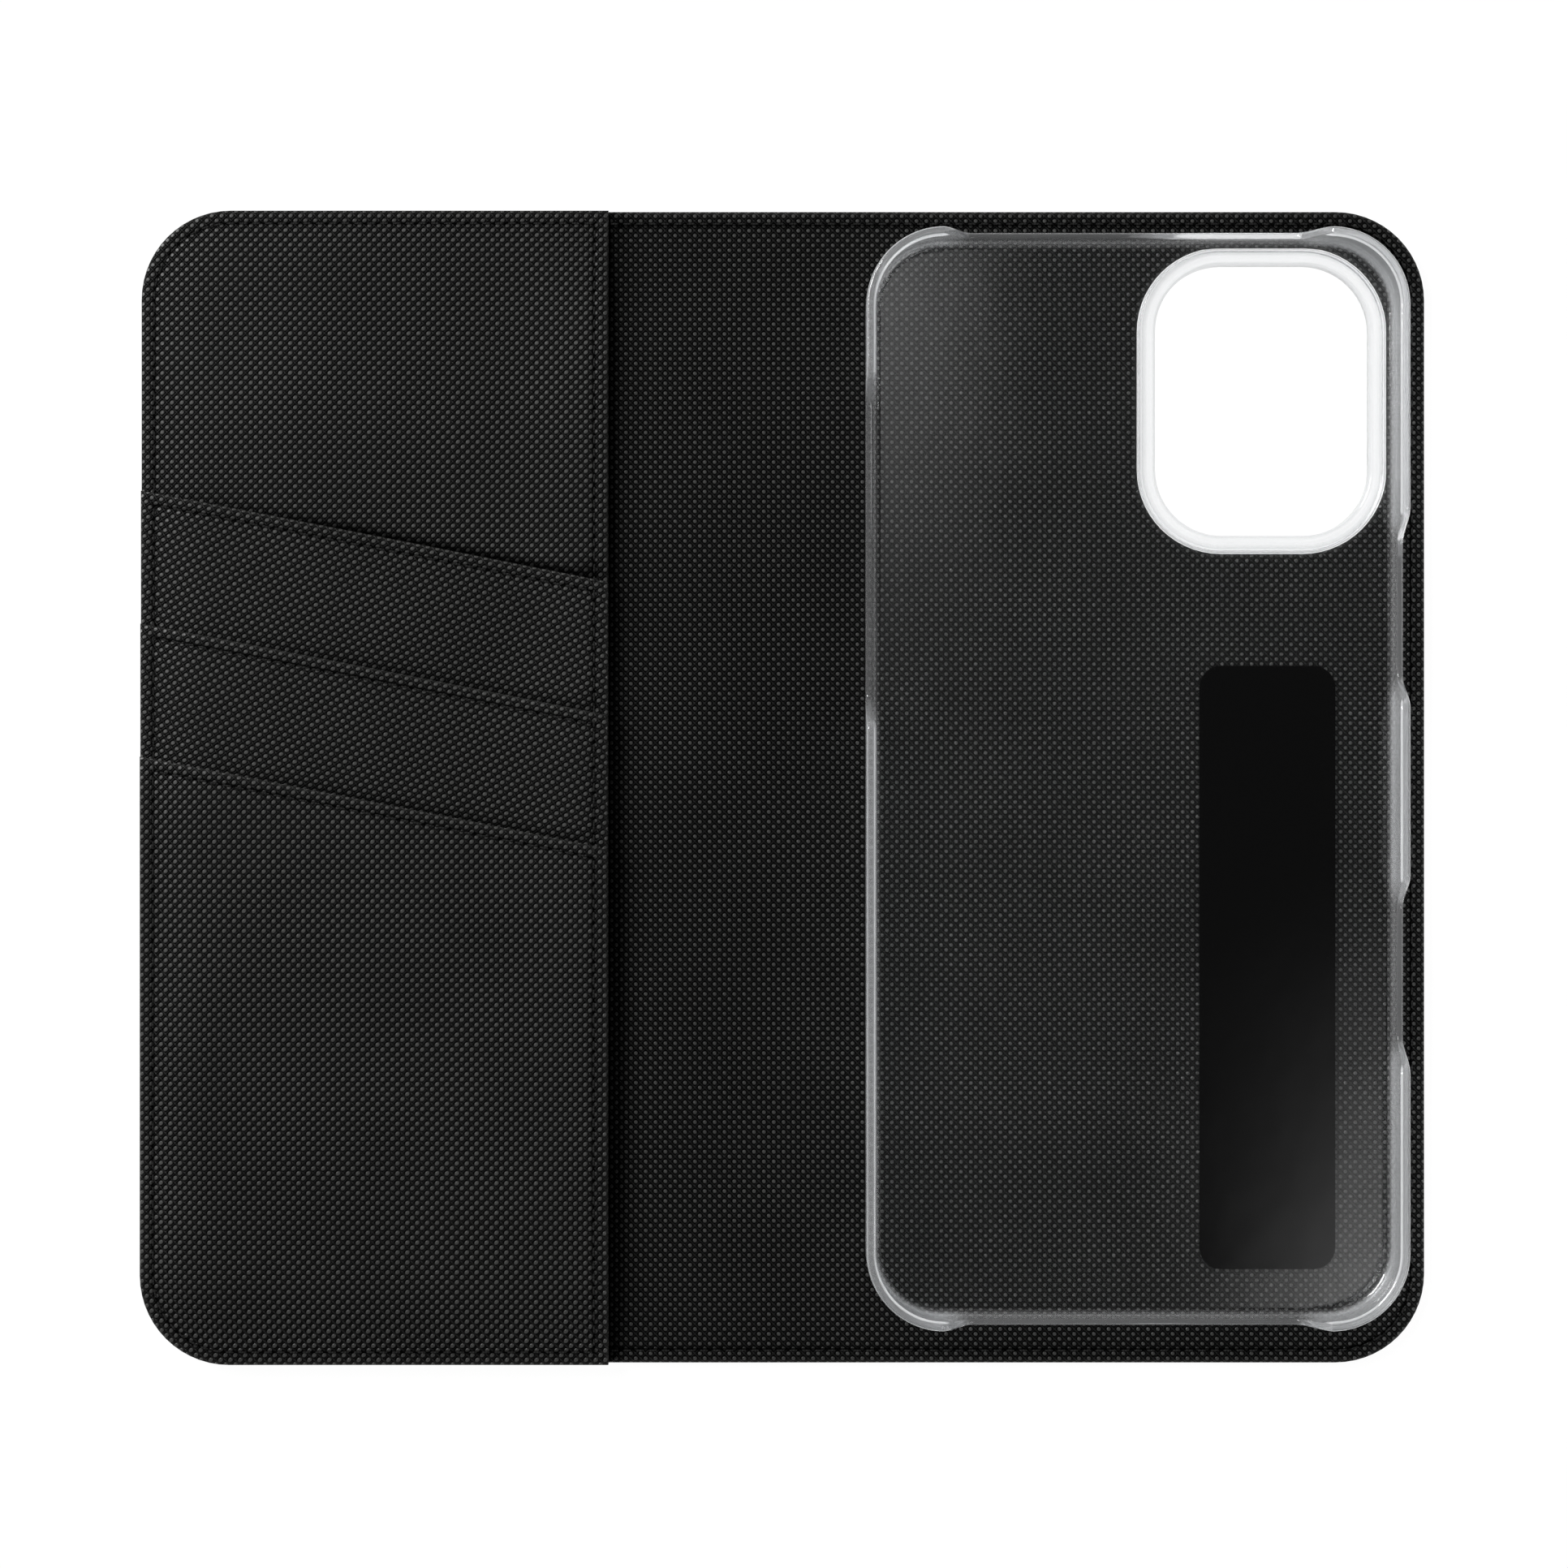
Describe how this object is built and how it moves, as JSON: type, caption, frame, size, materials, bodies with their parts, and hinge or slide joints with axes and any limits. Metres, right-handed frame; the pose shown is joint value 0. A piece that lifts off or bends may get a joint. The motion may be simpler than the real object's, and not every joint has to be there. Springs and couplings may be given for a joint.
{
  "type": "phone wallet case",
  "caption": "Folio phone case in black embossed synthetic leather, with slanted card pockets, a note pocket, a folding spine, a stand crease and a clear hard shell that holds the phone.",
  "frame": {"origin": "middle of the underside of the case, laid open and flat", "axes": "+X across the open covers from the pocket side to the phone side, +Y towards the camera end, +Z out of the inside face"},
  "size_m": [0.1768, 0.1588, 0.0115],
  "materials": {
    "skin": "embossed woven grain, semi-matt black",
    "lining": "embossed woven grain, semi-matt black",
    "pocket_leather": "embossed woven grain, semi-matt black",
    "board": "grey pressed board",
    "thread": "black polyester thread",
    "clear_plastic": "clear glossy polycarbonate",
    "adhesive": "black foam adhesive"
  },
  "bodies": {
    "back_cover": {"outer_skin_back": "skin", "stiffener_back": "board", "lining_back": "lining", "edge_stitching_back": "thread", "adhesive_pad": "adhesive", "clear_shell": "clear_plastic"},
    "back_flap": {"outer_skin_flap": "skin", "stiffener_flap": "board", "lining_flap": "lining", "edge_stitching_flap": "thread"},
    "spine": {"outer_skin_spine": "skin", "stiffener_spine": "board", "lining_spine": "lining", "edge_stitching_spine": "thread"},
    "front_cover": {"outer_skin_front": "skin", "stiffener_front": "board", "lining_front": "lining", "edge_stitching_front": "thread", "cash_pocket_panel": "pocket_leather", "panel_edge_stitching": "thread", "card_pocket_upper": "pocket_leather", "hem_stitching_upper": "thread", "card_pocket_middle": "pocket_leather", "hem_stitching_middle": "thread", "card_pocket_lower": "pocket_leather", "hem_stitching_lower": "thread"}
  },
  "joints": [
    {"name": "stand_fold", "type": "hinge", "parent": "back_cover", "child": "back_flap", "pos_m": [0.0327, 0, 0], "axis": [0, 1, 0], "range_deg": [-155, 0]},
    {"name": "spine_fold", "type": "hinge", "parent": "back_flap", "child": "spine", "pos_m": [0.0075, 0, 0.001], "axis": [0, 1, 0], "range_deg": [-20, 90]},
    {"name": "front_fold", "type": "hinge", "parent": "spine", "child": "front_cover", "pos_m": [-0.0075, 0, 0.001], "axis": [0, 1, 0], "range_deg": [-20, 90]}
  ]
}
